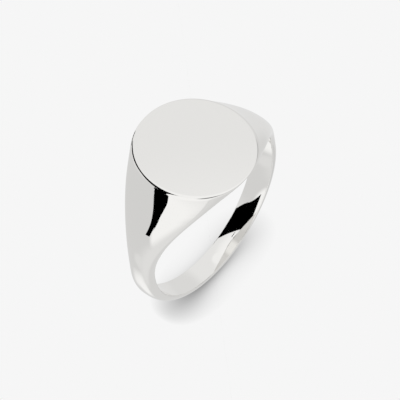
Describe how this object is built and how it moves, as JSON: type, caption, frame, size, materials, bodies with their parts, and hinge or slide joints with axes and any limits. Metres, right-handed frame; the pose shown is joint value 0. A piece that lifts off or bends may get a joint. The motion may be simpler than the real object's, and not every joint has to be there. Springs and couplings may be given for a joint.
{
  "type": "signet ring",
  "caption": "Plain signet ring: an oval flat seal plate on a head whose shoulders taper to a narrow D-section hoop.",
  "frame": {"origin": "lowest point of the hoop, under the middle of the ring", "axes": "+Z from the hoop's base up to the seal plate, +X across the finger, +Y along the finger through the bore"},
  "size_m": [0.0214, 0.013, 0.0206],
  "materials": {
    "plate_silver": "lapped flat and mirror-polished sterling silver, bright bevelled rim",
    "body_silver": "mirror-polished sterling silver with fine wear scratches"
  },
  "bodies": {
    "root": {"seal_plate": "plate_silver", "head": "body_silver", "shoulder_left": "body_silver", "shoulder_right": "body_silver", "shank": "body_silver"}
  },
  "joints": []
}
